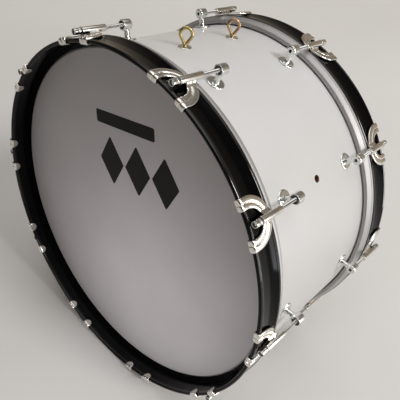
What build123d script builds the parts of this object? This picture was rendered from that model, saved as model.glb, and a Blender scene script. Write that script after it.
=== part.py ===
from build123d import *

import os
from math import asin, cos, degrees, radians, sin

# ---------------------------------------------------------------------------
# Marching bass drum, nominal 24 x 12 inch. Millimetres, +Z up.
# The drum stands on the rims of its two counter hoops with its axis along Y
# and its front head towards -Y. The eye bolts point straight up. The origin
# is on the floor, below the middle of the drum.
#
# Every round piece is drawn as a half section (radius, depth). Depth is the
# distance from the front edge of the front hoop towards the middle of the
# drum. The rear set is the front set turned half way round about Z.
# ---------------------------------------------------------------------------

# Overall
HOOP_R = 318.0  # outer radius of the counter hoops
DRUM_DEPTH = 374.0  # front edge of one hoop to front edge of the other
HALF = DRUM_DEPTH / 2

# Shell
SHELL_R = 302.3  # outside of the bare plywood
SHELL_WALL = 7.5
WRAP_T = 0.5  # white covering on the outside of the plywood
HEAD_PLANE = 34.4  # depth of the outer face of the head film
FILM_T = 0.35
FILM_GAP = 0.1  # film to bearing edge
EDGE_R = 298.0  # radius of the crest of the bearing edge
EDGE_CREST = 2.0  # width of the rounded crest
WRAP_SHORT = 1.5  # the covering stops this far from the bevel
COLLAR_ANGLE = 45.0  # slope of the film's collar
COLLAR_BEND_R = 3.0  # outer radius of the film's bend over the bearing edge
COLLAR_LEN = 8.6  # length of the sloping collar
VENT_R = 6.0
HOLE_CLEAR = 0.25  # radial clearance of the holes drilled in the shell

# Counter hoop
HOOP_WIDTH = 45.5
HOOP_INNER_R = 311.6  # wall in front of the lip
LIP_R = 302.5  # inner edge of the lip that presses on the flesh hoop
LIP_TOP, LIP_BOTTOM = 33.4, 36.0
SKIRT_R = 312.6  # inside of the hoop behind the lip
RIDGE = 4.3  # depth of the ridge where the front rounding ends
DISH = 1.3  # how far the band between ridge and rear lip is hollowed
REAR_LIP = 3.2  # width of the rear lip
RIDGE_DROP = 0.5  # the hollowed band starts this far below the ridge
RIDGE_FALL = 1.5  # width of the slope from the ridge down to the band
FRONT_FLAT = 0.8  # flat between the two front roundings
INNER_ROUND = 3.0  # depth of the front edge's inner rounding
LIP_ROUND = 1.0

# Flesh hoop, the aluminium ring that carries the film
FLESH_INNER_R, FLESH_NECK_R = 305.2, 312.0  # inside, and the part within the counter hoop
FLESH_START, FLESH_END = 36.0, 59.5
BEAD_R, BEAD_FROM, BEAD_TO = 317.0, 46.0, 50.4  # rim behind the counter hoop
BEAD_ROUND = 0.8
SLOPE_R = 311.8  # the outside slopes from the bead to this radius at the free edge
FLESH_ROUND = 1.0

# Hardware on each tension line
LINES = 10  # tension lines round each head
LINE_STEP = 360 / LINES
FIRST_LINE = -LINE_STEP / 2  # first line, measured from straight up towards +X
LINE_R = 326.0  # radius of the tension rods' axes

# Lug
LUG_MID = 99.5  # depth of the middle of the barrel
BARREL_R, BARREL_LEN = 8.3, 16.0
BARREL_BORE_R, BARREL_BORE_DEPTH = 6.6, 13.0
BARREL_END_HOLE_R = 2.6
BARREL_ROUND = 3.4  # rounding of the closed end
POST_R, FLANGE_R, FLANGE_T, FLANGE_ROUND = 4.6, 13.9, 2.2, 1.2
LUG_SCREW_R, LUG_SCREW_LEN = 2.5, 19.0
LUG_SCREW_HEAD_R, LUG_SCREW_HEAD_T, LUG_SCREW_HEAD_ROUND = 4.6, 3.2, 1.4
RECESS_LEN, RECESS_W, RECESS_DEEP = 5.0, 1.1, 1.8  # cross recess
LUG_WASHER_R, LUG_WASHER_T = 7.5, 1.2
CHORD = 1.0  # how far a flat round foot is drawn into the shell before it is cut to its curve
WASHER_GAP = 0.3  # a flat washer stands off the middle of the curved inner wall

# Tension rod, washer and swivel nut
ROD_R = 2.75
ROD_CLEAR = 0.08  # radial clearance of the rod in the nut
ROD_HEAD_R, ROD_CUP_LEN, ROD_COLLAR_LEN = 4.8, 7.0, 3.4
ROD_NECK_R, ROD_NECK_LEN = 3.9, 1.4
ROD_HEAD_START = 3.2  # depth of the outer end of the head
ROD_CUP_R, ROD_CUP_DEPTH = 3.9, 5.2
KEY_SQUARE = 4.4  # square drive inside the head
KEY_SINK = 2.0  # the square stands this far below the rim
KEY_ROOT = 1.0  # length of the square drawn inside the solid of the head
ROD_WASHER_R, ROD_WASHER_T = 5.6, 1.2
NUT_R, NUT_LEN = 6.3, 10.0
NUT_GAP = 0.2  # nut to the bottom of the barrel's bore
ROD_END = 100.5  # depth of the rod's tip

# Claw
CLAW_HALF_WIDTH, CLAW_REACH = 36.0, 44.0
CLAW_CENTRE = 8.0  # depth of the centre of the crescent's curves
CLAW_OPEN_HALF, CLAW_OPEN_REACH = 19.0, 28.0
CLAW_T = 2.4
CLAW_CLEAR = 0.15  # claw to hoop
CLAW_CORNER = 1.2  # corner radius of the claw where it turns over the hoop
GROOVE_W, GROOVE_DEEP = 3.0, 0.9
FRONT_ROOM = 10.0  # how far the outlines run on past the front of the hoop
RIB_W, RIB_T = 4.4, 0.9  # raised edges of each hook
RIB_REACH = 8.7  # depth at which they run out on the crescent
TONGUE_LEN = 10.0  # depth of the tongue's tip on the inner wall
SLEEVE_R, SLEEVE_BORE_R = 5.2, 3.1
SLEEVE_FROM, SLEEVE_TO = 17.0, 59.0
SADDLE_W, SADDLE_ROUND = 13.0, 3.5
SADDLE_FROM, SADDLE_TO = 29.0, 43.0

# Eye bolts, on top between the two uppermost lines
EYE_DEPTH = 131.0
EYE_TURN = 42.0  # the loops stand turned about their shanks by this angle
EYE_WIRE_R = 2.5
EYE_LOOP_R = 9.0  # radius of the wire's centre line round the loop
EYE_LOOP_Z = 19.5  # centre of the loop above the wrap
EYE_NECK_Z = 2.8  # where the legs meet the shank
EYE_PLATE_R, EYE_PLATE_T, EYE_PLATE_ROUND = 10.5, 1.6, 0.7
EYE_SHANK_END = -24.0  # end of the shank below the wrap
EYE_NUT_AF, EYE_NUT_T = 10.0, 5.0
EYE_WASHER_R, EYE_WASHER_T = 9.0, 1.6

WRAP_R = SHELL_R + WRAP_T
SHELL_IN_R = SHELL_R - SHELL_WALL
VENT_LINE = FIRST_LINE + 2 * LINE_STEP
CUT = 10.0  # how far a cutting shape runs on past the face it cuts
BIG = 2000.0


# ---------------------------------------------------------------------------
# Helpers
# ---------------------------------------------------------------------------
def face_of(*edges):
    """A face in the XY plane (X is radius, Y is depth) from its closed outline."""
    return make_face(edges)


def outline(points):
    return make_face(Polyline(*points, close=True))


def turned(section):
    """The solid of revolution about the drum's axis, front set, depth along +Y."""
    return revolve(section, Axis.Y)


def cylinder_y(r, start, end):
    """A cylinder along Y between two depths."""
    middle = (start + end) / 2
    return Pos(0, middle, 0) * Rot(90, 0, 0) * Cylinder(r, end - start)


def cylinder_z(r, low, high):
    return Pos(0, 0, (low + high) / 2) * Cylinder(r, high - low)


def at_line(number, part):
    """A piece drawn at the top of the drum, carried to one tension line."""
    return Rot(0, FIRST_LINE + number * LINE_STEP, 0) * part


def all_lines(part):
    return [at_line(n, part) for n in range(LINES)]


def to_front(part):
    """From depth along Y to the drum's own frame."""
    return Pos(0, -HALF, HOOP_R) * part


def to_rear(part):
    """The same piece on the other head: the drum looks alike from both sides."""
    return Rot(0, 0, 180) * to_front(part)


def save(name, solids):
    group = Compound(children=[s for part in solids for s in part.solids()])
    group.label = name
    export_step(group, f"parts/{name}.step")


def save_pair(name, solids):
    """The front set and the rear set of a group of pieces."""
    save(f"front_{name}", [to_front(s) for s in solids])
    save(f"rear_{name}", [to_rear(s) for s in solids])


# ---------------------------------------------------------------------------
# Shell
# ---------------------------------------------------------------------------
def drill_through(r):
    """A drill through the shell's wall at the top of the drum."""
    return cylinder_z(r, SHELL_IN_R - CUT, WRAP_R + CUT)


def shell_holes(part):
    """Cut the screw holes of the lugs, the eye bolt holes and the vent."""
    for depth in (LUG_MID, DRUM_DEPTH - LUG_MID):
        drill = Pos(0, depth, 0) * drill_through(LUG_SCREW_R + HOLE_CLEAR)
        for hole in all_lines(drill):
            part -= hole
    for depth in (EYE_DEPTH, DRUM_DEPTH - EYE_DEPTH):
        part -= Pos(0, depth, 0) * drill_through(EYE_WIRE_R + HOLE_CLEAR)
    return part - Rot(0, VENT_LINE, 0) * Pos(0, HALF, 0) * drill_through(VENT_R)


def plywood_shell():
    """A plywood tube whose ends are bevelled to a bearing edge."""
    crest = HEAD_PLANE + FILM_T + FILM_GAP
    half_crest = EDGE_CREST / 2
    outer_drop = SHELL_R - EDGE_R - half_crest
    inner_drop = EDGE_R - half_crest - SHELL_IN_R
    end = DRUM_DEPTH
    section = outline([
        (SHELL_IN_R, crest + inner_drop),
        (EDGE_R - half_crest, crest),
        (EDGE_R + half_crest, crest),
        (SHELL_R, crest + outer_drop),
        (SHELL_R, end - crest - outer_drop),
        (EDGE_R + half_crest, end - crest),
        (EDGE_R - half_crest, end - crest),
        (SHELL_IN_R, end - crest - inner_drop),
    ])
    return shell_holes(turned(section))


def wrap():
    """A covering round the plywood, short of its bevelled ends."""
    start = HEAD_PLANE + FILM_T + FILM_GAP + SHELL_R - EDGE_R + WRAP_SHORT
    section = outline([
        (SHELL_R, start),
        (WRAP_R, start),
        (WRAP_R, DRUM_DEPTH - start),
        (SHELL_R, DRUM_DEPTH - start),
    ])
    return shell_holes(turned(section))


# ---------------------------------------------------------------------------
# Head: film and flesh hoop
# ---------------------------------------------------------------------------
def film():
    """A flat disc, a bend over the bearing edge, and a collar that slopes into the flesh hoop."""
    centre = (EDGE_R + EDGE_CREST / 2, HEAD_PLANE + COLLAR_BEND_R)
    angle = radians(COLLAR_ANGLE)

    def on_bend(radius, turn):
        return (centre[0] + radius * sin(turn), centre[1] - radius * cos(turn))

    def run(radius):
        """The three points of the bend and the end of the slope at one bend radius."""
        last = on_bend(radius, angle)
        tip = (last[0] + COLLAR_LEN * cos(angle), last[1] + COLLAR_LEN * sin(angle))
        return on_bend(radius, 0), on_bend(radius, angle / 2), last, tip

    first, middle, last, tip = run(COLLAR_BEND_R)
    first_in, middle_in, last_in, tip_in = run(COLLAR_BEND_R - FILM_T)
    section = face_of(
        Line((0, HEAD_PLANE), first),
        ThreePointArc(first, middle, last),
        Line(last, tip),
        Line(tip, tip_in),
        Line(tip_in, last_in),
        ThreePointArc(last_in, middle_in, first_in),
        Line(first_in, (0, HEAD_PLANE + FILM_T)),
        Line((0, HEAD_PLANE + FILM_T), (0, HEAD_PLANE)),
    )
    return turned(section)


def flesh_hoop(head_film):
    """An aluminium ring with a bead behind the counter hoop and a sloping outside."""
    bead_in, bead_out = BEAD_FROM + BEAD_ROUND, BEAD_TO - BEAD_ROUND
    section = outline([
        (FLESH_INNER_R, FLESH_START),
        (FLESH_NECK_R, FLESH_START),
        (FLESH_NECK_R, BEAD_FROM),
        (BEAD_R - BEAD_ROUND, BEAD_FROM),
        (BEAD_R, bead_in),
        (BEAD_R, bead_out),
        (BEAD_R - BEAD_ROUND, BEAD_TO),
        (SLOPE_R, FLESH_END - FLESH_ROUND),
        (SLOPE_R - FLESH_ROUND, FLESH_END),
        (FLESH_INNER_R, FLESH_END),
    ])
    return turned(section) - head_film


# ---------------------------------------------------------------------------
# Counter hoop
# ---------------------------------------------------------------------------
def counter_hoop():
    """A rolled hoop: rounded front edge, hollowed band, rear lip and an inner lip."""
    wall = HOOP_R - HOOP_INNER_R
    round_w = (wall - FRONT_FLAT) / 2
    inner_front = (HOOP_INNER_R + round_w, 0)
    outer_front = (HOOP_R - round_w, 0)
    ridge = (HOOP_R, RIDGE)
    band_r = HOOP_R - RIDGE_DROP
    shoulder = (band_r, RIDGE + RIDGE_FALL)
    lip_start = (HOOP_R, HOOP_WIDTH - REAR_LIP)
    foot = (band_r, lip_start[1] - RIDGE_DROP)
    bottom = (band_r - DISH, (shoulder[1] + foot[1]) / 2)
    lip_end = (HOOP_R, HOOP_WIDTH - LIP_ROUND)
    back = (HOOP_R - LIP_ROUND, HOOP_WIDTH)
    section = face_of(
        EllipticalCenterArc((inner_front[0], INNER_ROUND), round_w, INNER_ROUND, 180, arc_size=90),
        Line(inner_front, outer_front),
        EllipticalCenterArc((outer_front[0], RIDGE), round_w, RIDGE, 270, arc_size=90),
        Line(ridge, shoulder),
        ThreePointArc(shoulder, bottom, foot),
        Line(foot, lip_start),
        Line(lip_start, lip_end),
        EllipticalCenterArc((back[0], lip_end[1]), LIP_ROUND, LIP_ROUND, 0, arc_size=90),
        Line(back, (SKIRT_R, HOOP_WIDTH)),
        Line((SKIRT_R, HOOP_WIDTH), (SKIRT_R, LIP_BOTTOM)),
        Line((SKIRT_R, LIP_BOTTOM), (LIP_R, LIP_BOTTOM)),
        Line((LIP_R, LIP_BOTTOM), (LIP_R, LIP_TOP)),
        Line((LIP_R, LIP_TOP), (HOOP_INNER_R, LIP_TOP)),
        Line((HOOP_INNER_R, LIP_TOP), (HOOP_INNER_R, INNER_ROUND)),
    )
    return turned(section)


# ---------------------------------------------------------------------------
# Claw
# ---------------------------------------------------------------------------
def half_oval(half_width, centre, reach, front):
    """A shape open to the front: two straight legs and half an ellipse, in X and depth."""
    oval = Pos(0, centre) * Ellipse(half_width, reach - centre)
    legs = Pos(0, (front + centre) / 2) * Rectangle(2 * half_width, centre - front)
    lower = Pos(0, centre - BIG / 2) * Rectangle(BIG, BIG)
    return (oval - lower) + legs


def prism(sketch, low, high):
    return Pos(0, 0, low) * extrude(sketch, high - low)


def ring(inner, outer, start, end):
    return turned(outline([(inner, start), (outer, start), (outer, end), (inner, end)]))


def wrapped_band(low, high, spread):
    """A band that follows the hoop outside, round its front edge and up its inner wall.

    It lies between two distances from the hoop and covers an angle to each side of the top.
    """
    middle = (HOOP_R + HOOP_INNER_R) / 2
    wall = HOOP_R - HOOP_INNER_R

    def block(offset):
        width, length = wall + 2 * offset, CLAW_REACH + 2 * CUT
        corner = offset + CLAW_CORNER
        return Pos(middle, length / 2 - offset) * RectangleRounded(width, length, corner)

    section = block(high) - block(low)
    # a revolved section starts along +X, so it is first turned up to +Z
    return Rot(0, -90 - spread, 0) * revolve(section, Axis.Y, revolution_arc=2 * spread)


def claw_outline():
    """The crescent seen from outside, with its legs running off past the hoop's front."""
    return half_oval(CLAW_HALF_WIDTH, CLAW_CENTRE, CLAW_REACH, -FRONT_ROOM) - half_oval(
        CLAW_OPEN_HALF, CLAW_CENTRE, CLAW_OPEN_REACH, -BIG
    )


def both_legs(width, offset, reach):
    """Two equal round-ended shapes, one on each leg's centre line or beside it."""
    leg_x = (CLAW_HALF_WIDTH + CLAW_OPEN_HALF) / 2
    shape = half_oval(width / 2, 0, reach, -FRONT_ROOM)
    places = [side * leg_x + shift for side in (-1, 1) for shift in offset]
    return [Pos(x, 0) * shape for x in places]


def claw():
    """A crescent plate on the hoop's outside, two hooks, and the sleeve for the rod."""
    out_r = HOOP_R + CLAW_CLEAR
    top_r = out_r + CLAW_T
    middle = (HOOP_R + HOOP_INNER_R) / 2
    leg_width = CLAW_HALF_WIDTH - CLAW_OPEN_HALF
    spread = degrees((CLAW_HALF_WIDTH + CUT) / HOOP_R)

    keep = prism(claw_outline(), middle, top_r + CUT)
    for tongue in both_legs(leg_width, [0], TONGUE_LEN):
        keep += prism(tongue, HOOP_INNER_R - CUT, middle)
    body = wrapped_band(CLAW_CLEAR, CLAW_CLEAR + CLAW_T, spread) & keep

    # raised edges on the hooks
    edge_band = wrapped_band(CLAW_CLEAR + CLAW_T / 2, CLAW_CLEAR + CLAW_T + RIB_T, spread)
    shift = (leg_width - RIB_W) / 2
    for rib in both_legs(RIB_W, [-shift, shift], RIB_REACH):
        body += edge_band & prism(rib, HOOP_INNER_R - CUT, top_r + CUT)

    # a groove runs round the crescent
    mid_half = (CLAW_HALF_WIDTH + CLAW_OPEN_HALF) / 2
    mid_reach = (CLAW_REACH + CLAW_OPEN_REACH) / 2
    half_groove = GROOVE_W / 2
    start = CLAW_CENTRE - half_groove
    groove = half_oval(mid_half + half_groove, CLAW_CENTRE, mid_reach + half_groove, start)
    groove -= half_oval(mid_half - half_groove, CLAW_CENTRE, mid_reach - half_groove, -BIG)
    groove_floor = top_r - GROOVE_DEEP
    body -= prism(groove, out_r - CUT, out_r + CUT) & ring(groove_floor, out_r + CUT, 0, CLAW_REACH)

    # the saddle rises from the plate to the sleeve
    saddle_low = out_r + CLAW_T / 4
    saddle_middle = Pos(0, (SADDLE_FROM + SADDLE_TO) / 2, (saddle_low + LINE_R) / 2)
    saddle = saddle_middle * Box(SADDLE_W, SADDLE_TO - SADDLE_FROM, LINE_R - saddle_low)
    body += fillet(saddle.edges().filter_by(Axis.Y).group_by(Axis.Z)[-1], SADDLE_ROUND)
    body += Pos(0, 0, LINE_R) * cylinder_y(SLEEVE_R, SLEEVE_FROM, SLEEVE_TO)
    return body - Pos(0, 0, LINE_R) * cylinder_y(SLEEVE_BORE_R, 0, SLEEVE_TO + CUT)


# ---------------------------------------------------------------------------
# Tension rod, washer, swivel nut
# ---------------------------------------------------------------------------
def tension_rod():
    """A rod with a round cupped head. A square drive stands inside the cup."""
    start = ROD_HEAD_START
    cup_end = start + ROD_CUP_LEN
    neck_end = cup_end + ROD_NECK_LEN
    collar_end = neck_end + ROD_COLLAR_LEN
    rod = cylinder_y(ROD_HEAD_R, start, cup_end)
    rod -= cylinder_y(ROD_CUP_R, start, start + ROD_CUP_DEPTH)
    rod += cylinder_y(ROD_NECK_R, cup_end, neck_end)
    rod += cylinder_y(ROD_HEAD_R, neck_end, collar_end)
    key_len = ROD_CUP_DEPTH - KEY_SINK + KEY_ROOT
    rod += Pos(0, start + KEY_SINK + key_len / 2, 0) * Box(KEY_SQUARE, key_len, KEY_SQUARE)
    rod += cylinder_y(ROD_R, collar_end, ROD_END)
    return Pos(0, 0, LINE_R) * rod


def rod_washer():
    """A flat washer between the rod's collar and the claw's sleeve."""
    start = SLEEVE_FROM - ROD_WASHER_T
    body = cylinder_y(ROD_WASHER_R, start, SLEEVE_FROM) - cylinder_y(SLEEVE_BORE_R, start, SLEEVE_FROM)
    return Pos(0, 0, LINE_R) * body


def swivel_nut():
    """A round threaded nut that sits loose in the lug's barrel."""
    end = LUG_MID - BARREL_LEN / 2 + BARREL_BORE_DEPTH - NUT_GAP
    nut = cylinder_y(NUT_R, end - NUT_LEN, end) - cylinder_y(ROD_R + ROD_CLEAR, end - NUT_LEN, end)
    return Pos(0, 0, LINE_R) * nut


# ---------------------------------------------------------------------------
# Lug with its screw and inner washer
# ---------------------------------------------------------------------------
def lug():
    """A hollow barrel on a post, with a round flange shaped to the shell."""
    mouth = LUG_MID - BARREL_LEN / 2
    end = LUG_MID + BARREL_LEN / 2
    barrel = Pos(0, 0, LINE_R) * cylinder_y(BARREL_R, mouth, end)
    barrel = fillet(barrel.edges().filter_by(GeomType.CIRCLE).group_by(Axis.Y)[-1], BARREL_ROUND)
    foot = WRAP_R - CHORD
    post = cylinder_z(POST_R, foot, LINE_R - BARREL_R / 2)
    flange = cylinder_z(FLANGE_R, foot, WRAP_R + FLANGE_T)
    flange = fillet(flange.edges().filter_by(GeomType.CIRCLE).group_by(Axis.Z)[-1], FLANGE_ROUND)
    body = Pos(0, LUG_MID, 0) * (post + flange) + barrel
    bore = cylinder_y(BARREL_BORE_R, mouth - CUT, mouth + BARREL_BORE_DEPTH)
    hole = cylinder_y(BARREL_END_HOLE_R, mouth, end + CUT)
    body -= Pos(0, 0, LINE_R) * (bore + hole)
    body -= cylinder_y(WRAP_R, LUG_MID - 2 * FLANGE_R, LUG_MID + 2 * FLANGE_R)
    thread = cylinder_z(LUG_SCREW_R, foot, screw_tip())
    return body - Pos(0, LUG_MID, 0) * thread


def screw_tip():
    """Radius at which a lug screw ends, inside the lug's post."""
    return SHELL_IN_R - WASHER_GAP - LUG_WASHER_T + LUG_SCREW_LEN


def lug_screw():
    """A round-headed screw through the shell, from inside, with a cross recess."""
    seat = SHELL_IN_R - WASHER_GAP - LUG_WASHER_T
    head = cylinder_z(LUG_SCREW_HEAD_R, seat - LUG_SCREW_HEAD_T, seat)
    edge = head.edges().filter_by(GeomType.CIRCLE).group_by(Axis.Z)[0]
    head = fillet(edge, LUG_SCREW_HEAD_ROUND)
    for turn in (0, 90):
        slot = Rot(0, 0, turn) * Box(RECESS_LEN, RECESS_W, 2 * RECESS_DEEP)
        head -= Pos(0, 0, seat - LUG_SCREW_HEAD_T) * slot
    shank = cylinder_z(LUG_SCREW_R, seat, screw_tip())
    return Pos(0, LUG_MID, 0) * (head + shank)


def inner_washer(r, thickness, hole_r, depth):
    """A flat washer against the shell's inner wall."""
    top = SHELL_IN_R - WASHER_GAP
    low = top - thickness
    return Pos(0, depth, 0) * (cylinder_z(r, low, top) - cylinder_z(hole_r, low, top))


# ---------------------------------------------------------------------------
# Eye bolts
# ---------------------------------------------------------------------------
def eye_bolt():
    """A wire loop, teardrop shaped, whose two ends close on a threaded shank."""
    centre = WRAP_R + EYE_LOOP_Z
    neck = WRAP_R + EYE_NECK_Z
    # the legs leave the loop where the tangent from the neck touches it
    touch = degrees(asin(EYE_LOOP_R / (centre - neck)))
    left = (-EYE_LOOP_R * cos(radians(touch)), centre - EYE_LOOP_R * sin(radians(touch)))
    right = (-left[0], left[1])
    top = (0, centre + EYE_LOOP_R)
    plane = Plane.XZ
    path = plane * (Line((0, neck), left) + ThreePointArc(left, top, right) + Line(right, (0, neck)))
    section = Plane(origin=path @ 0, z_dir=path % 0) * Circle(EYE_WIRE_R)
    loop = sweep(section, path, transition=Transition.ROUND)
    shank = cylinder_z(EYE_WIRE_R, WRAP_R + EYE_SHANK_END, neck + EYE_WIRE_R / 2)
    return Pos(0, EYE_DEPTH, 0) * Rot(0, 0, EYE_TURN) * (loop + shank)


def eye_plate():
    """The round plate on the wrap, under the loop."""
    low, high = WRAP_R - CHORD, WRAP_R + EYE_PLATE_T
    plate = cylinder_z(EYE_PLATE_R, low, high)
    plate = fillet(plate.edges().filter_by(GeomType.CIRCLE).group_by(Axis.Z)[-1], EYE_PLATE_ROUND)
    plate -= cylinder_z(EYE_WIRE_R, low, high)
    return Pos(0, EYE_DEPTH, 0) * plate - cylinder_y(WRAP_R, 0, DRUM_DEPTH)


def eye_nut():
    """A hexagon nut under the washer."""
    top = SHELL_IN_R - WASHER_GAP - EYE_WASHER_T
    hexagon = RegularPolygon(EYE_NUT_AF / 2, 6, major_radius=False)
    nut = Pos(0, 0, top - EYE_NUT_T) * extrude(hexagon, EYE_NUT_T)
    nut -= cylinder_z(EYE_WIRE_R, top - EYE_NUT_T, top)
    return Pos(0, EYE_DEPTH, 0) * nut


# ---------------------------------------------------------------------------
# The drum
# ---------------------------------------------------------------------------
def main():
    os.makedirs("parts", exist_ok=True)

    save("shell", [to_front(plywood_shell())])
    save("shell_wrap", [to_front(wrap())])

    head_film = film()
    save_pair("head", [head_film])
    save_pair("flesh_hoop", [flesh_hoop(head_film)])
    save_pair("counter_hoop", [counter_hoop()])

    save_pair("claws", all_lines(claw()))
    save_pair("rod_washers", all_lines(rod_washer()))
    save_pair("lugs", all_lines(lug()))
    save_pair("swivel_nuts", all_lines(swivel_nut()))
    save_pair("lug_screws", all_lines(lug_screw()))
    washer = inner_washer(LUG_WASHER_R, LUG_WASHER_T, LUG_SCREW_R, LUG_MID)
    save_pair("lug_washers", all_lines(washer))

    rod = tension_rod()
    for n in range(LINES):
        save_pair(f"tension_rod_{n + 1:02d}", [at_line(n, rod)])

    save_pair("eye_bolt", [eye_bolt()])
    save_pair("eye_plate", [eye_plate()])
    washer = inner_washer(EYE_WASHER_R, EYE_WASHER_T, EYE_WIRE_R, EYE_DEPTH)
    save_pair("eye_washer", [washer])
    save_pair("eye_nut", [eye_nut()])


main()
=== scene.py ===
from math import asin, atan2, cos, pi, radians, sin, sqrt

import bmesh
import bpy
import numpy as np
from mathutils import Matrix, Vector


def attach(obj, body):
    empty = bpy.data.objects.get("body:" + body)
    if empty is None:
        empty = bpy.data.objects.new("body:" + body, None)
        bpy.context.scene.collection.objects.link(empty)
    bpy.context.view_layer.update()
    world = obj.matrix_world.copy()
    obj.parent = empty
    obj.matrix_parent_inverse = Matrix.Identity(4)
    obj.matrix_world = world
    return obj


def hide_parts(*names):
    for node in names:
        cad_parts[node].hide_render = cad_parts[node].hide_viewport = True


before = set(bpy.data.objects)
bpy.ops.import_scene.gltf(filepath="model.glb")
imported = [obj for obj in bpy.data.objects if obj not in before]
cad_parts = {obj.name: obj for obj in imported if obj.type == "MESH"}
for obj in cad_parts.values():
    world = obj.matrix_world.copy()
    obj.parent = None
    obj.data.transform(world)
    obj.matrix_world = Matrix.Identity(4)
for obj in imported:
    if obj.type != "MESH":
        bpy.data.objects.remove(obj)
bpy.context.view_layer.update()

# ---------------------------------------------------------------------------
# Sizes in millimetres, as in the CAD. Sections are (radius, depth), with depth
# from the front edge of the front hoop. Meshes are scaled to metres at the end.
# ---------------------------------------------------------------------------
MM = 0.001
ROUND = 360  # segments round the drum
SMALL = 40  # segments round a screw, a post or a washer

HALF = 187.0  # half the drum's depth over the hoops
HOOP_R, HOOP_INNER_R, HOOP_WIDTH = 318.0, 311.6, 45.5
HOOP_EDGE_R = 1.2  # rounding of the hoop's front edge under the claws
SHELL_R, WRAP_R, SHELL_IN_R = 302.3, 302.8, 294.8
HEAD_PLANE, FILM_T = 34.4, 0.35  # depth of the film's front face
CREST = HEAD_PLANE + FILM_T + 0.1  # depth of the bearing edge
LINE_R, LINES, FIRST_LINE = 326.0, 10, -18.0  # tension lines, the first one's angle in degrees
LUG_MID = 99.5
VENT_ANGLE, VENT_R = 54.0, 6.0
EYE_DEPTH, EYE_TURN = 131.0, 42.0
SCREW_R = 2.5
PITCH = 25.4 / 24  # 12-24 thread
HAIR = 0.02  # gap between surfaces that lie on each other


# ---------------------------------------------------------------------------
# Mesh helpers: a part is (points as an array, faces as index tuples)
# ---------------------------------------------------------------------------
def rounded(points, steps=5):
    """A closed outline. A point's third number is the radius that its corner is rounded to."""
    out = []
    count = len(points)
    for i, point in enumerate(points):
        here = Vector(point[:2])
        radius = point[2] if len(point) > 2 else 0
        if radius == 0:
            out.append(tuple(here))
            continue
        before = Vector(points[i - 1][:2]) - here
        after = Vector(points[(i + 1) % count][:2]) - here
        half = before.angle(after) / 2
        reach = min(radius / np.tan(half), 0.49 * before.length, 0.49 * after.length)
        start, end = here + before.normalized() * reach, here + after.normalized() * reach
        for k in range(steps + 1):
            t = k / steps
            a, b = start.lerp(here, t), here.lerp(end, t)
            out.append(tuple(a.lerp(b, t)))
    return out


def grid_faces(rows, columns, wrap_rows, wrap_columns, skip=None):
    """Four-sided faces between points that lie in rows."""
    faces = []
    for i in range(rows if wrap_rows else rows - 1):
        for j in range(columns if wrap_columns else columns - 1):
            if skip and skip(i, j):
                continue
            k, m = (i + 1) % rows, (j + 1) % columns
            faces.append((i * columns + j, i * columns + m, k * columns + m, k * columns + j))
    return faces


def turned(section, count=SMALL, closed=True):
    """Turns a section (radius, depth) round the Y axis."""
    section = np.array(section, float)
    angles = np.arange(count) * 2 * pi / count
    points = np.stack([
        np.outer(np.sin(angles), section[:, 0]),
        np.tile(section[:, 1], (count, 1)),
        np.outer(np.cos(angles), section[:, 0]),
    ], axis=2).reshape(-1, 3)
    return points, grid_faces(count, len(section), True, closed)


def upright(part):
    """A part turned round Y, stood up so that its depth runs along Z."""
    points, faces = part
    return points[:, [0, 2, 1]], faces


def joined(parts):
    points, faces, start = [], [], 0
    for p, f in parts:
        points.append(p)
        faces += [tuple(i + start for i in face) for face in f]
        start += len(p)
    return np.concatenate(points), faces


def moved(part, matrix):
    points, faces = part
    m = np.array(matrix)
    return points @ m[:3, :3].T + m[:3, 3], faces


def up(part, height):
    return moved(part, Matrix.Translation((0, 0, height)))


def at_depth(part, depth):
    return moved(part, Matrix.Translation((0, depth, 0)))


TO_FRONT = Matrix.Translation((0, -HALF, HOOP_R))
TO_REAR = Matrix.Rotation(pi, 4, "Z") @ TO_FRONT
SIDES = {"front": TO_FRONT, "rear": TO_REAR}


def line(n):
    return Matrix.Rotation(radians(FIRST_LINE + n * 360 / LINES), 4, "Y")


def around(part):
    return joined([moved(part, line(n)) for n in range(LINES)])


def piece(name, part, body, material, nodes=(), sharp=35.0):
    """One finished piece: its mesh in metres, its body and its material; the CAD parts it stands
    for are hidden.
    """
    points, faces = part
    mesh = bpy.data.meshes.new(name)
    mesh.from_pydata((points * MM).tolist(), [], faces)
    mesh.validate()
    obj = bpy.data.objects.new(name, mesh)
    bpy.context.scene.collection.objects.link(obj)
    bm = bmesh.new()
    bm.from_mesh(mesh)
    bmesh.ops.remove_doubles(bm, verts=bm.verts, dist=1e-6)
    bmesh.ops.recalc_face_normals(bm, faces=bm.faces)
    bm.to_mesh(mesh)
    bm.free()
    mesh.shade_smooth()
    mesh.set_sharp_from_angle(angle=radians(sharp))
    mesh.materials.append(material)
    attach(obj, body)
    if nodes:
        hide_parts(*nodes)
    return obj


# ---------------------------------------------------------------------------
# Shader node helpers
# ---------------------------------------------------------------------------
def new_material(name, color, metallic=0.0, roughness=0.4, coat=0.0, specular=0.5):
    material = bpy.data.materials.new(name)
    material.use_nodes = True
    nodes, links = material.node_tree.nodes, material.node_tree.links
    shader = nodes["Principled BSDF"]
    shader.inputs["Base Color"].default_value = (*color, 1)
    shader.inputs["Metallic"].default_value = metallic
    shader.inputs["Roughness"].default_value = roughness
    shader.inputs["Coat Weight"].default_value = coat
    shader.inputs["Coat Roughness"].default_value = 0.05
    shader.inputs["Specular IOR Level"].default_value = specular
    return material, nodes, links, shader


def coordinates(nodes, links, kind="Object"):
    """The X, Y and Z outputs of a texture coordinate."""
    coords = nodes.new("ShaderNodeTexCoord")
    apart = nodes.new("ShaderNodeSeparateXYZ")
    links.new(coords.outputs[kind], apart.inputs["Vector"])
    return apart.outputs


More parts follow.
